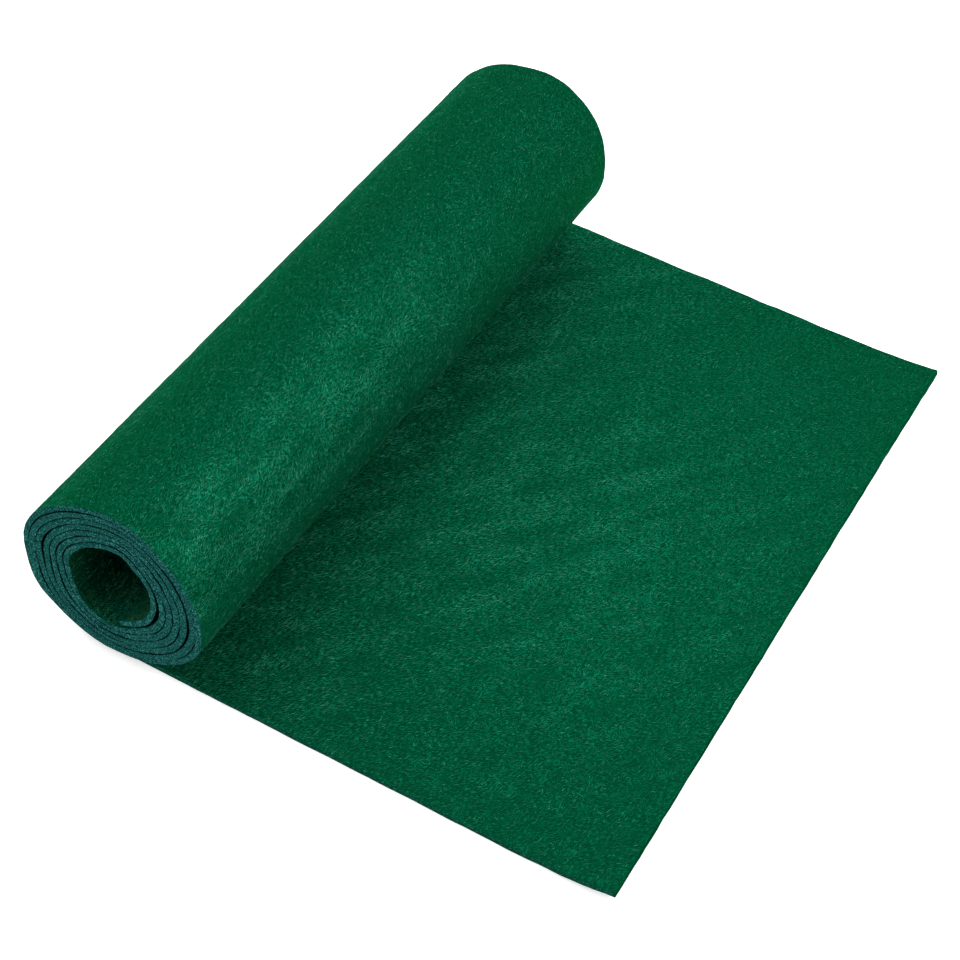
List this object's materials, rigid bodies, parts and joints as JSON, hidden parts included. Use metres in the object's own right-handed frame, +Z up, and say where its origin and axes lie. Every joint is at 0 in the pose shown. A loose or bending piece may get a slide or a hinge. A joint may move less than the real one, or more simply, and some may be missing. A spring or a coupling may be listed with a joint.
{
  "type": "roll of felt",
  "caption": "Thick craft felt wound into a roll with an open eye, its outer end unrolled and lying flat.",
  "frame": {"origin": "centre of the footprint, on the surface that the loose felt lies on", "axes": "+Y along the roll's axis, +X the way the loose end runs out from the roll, +Z up"},
  "size_m": [0.32, 0.4056, 0.1024],
  "materials": {
    "felt": "matt needled felt, deep green"
  },
  "bodies": {
    "root": {"felt_roll": "felt"}
  },
  "joints": []
}
